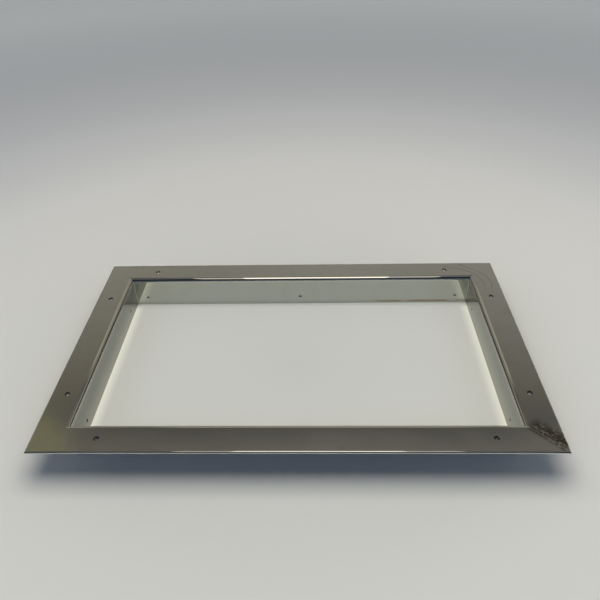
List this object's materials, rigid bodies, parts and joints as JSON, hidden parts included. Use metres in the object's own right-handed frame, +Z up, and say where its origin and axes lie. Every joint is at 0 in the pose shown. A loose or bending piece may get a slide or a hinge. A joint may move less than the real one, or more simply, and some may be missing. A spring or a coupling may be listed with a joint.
{
  "type": "deck hatch trim frame",
  "caption": "Rectangular mirror-polished stainless trim frame for a deck hatch: a flat flange bent down into an upright skirt, mitred and welded at the corners, drilled for screws.",
  "frame": {"origin": "middle of the hatch opening, level with the foot of the skirt that the frame stands on", "axes": "+X along the long rails, +Y towards the back rail, +Z up out of the deck, square to the flange"},
  "size_m": [0.76, 0.475, 0.0605],
  "materials": {
    "polished_plate": "mirror-polished 316 stainless plate",
    "weld_metal": "stainless TIG weld, dressed flush through the flange and inside the skirt, and left as welded in the bead outside the skirt's corner"
  },
  "bodies": {
    "root": {"front_rail": "polished_plate", "right_rail": "polished_plate", "back_rail": "polished_plate", "left_rail": "polished_plate", "front_left_mitre_weld": "weld_metal", "front_right_mitre_weld": "weld_metal", "back_right_mitre_weld": "weld_metal", "back_left_mitre_weld": "weld_metal", "front_left_corner_weld": "weld_metal", "front_right_corner_weld": "weld_metal", "back_right_corner_weld": "weld_metal", "back_left_corner_weld": "weld_metal"}
  },
  "joints": []
}
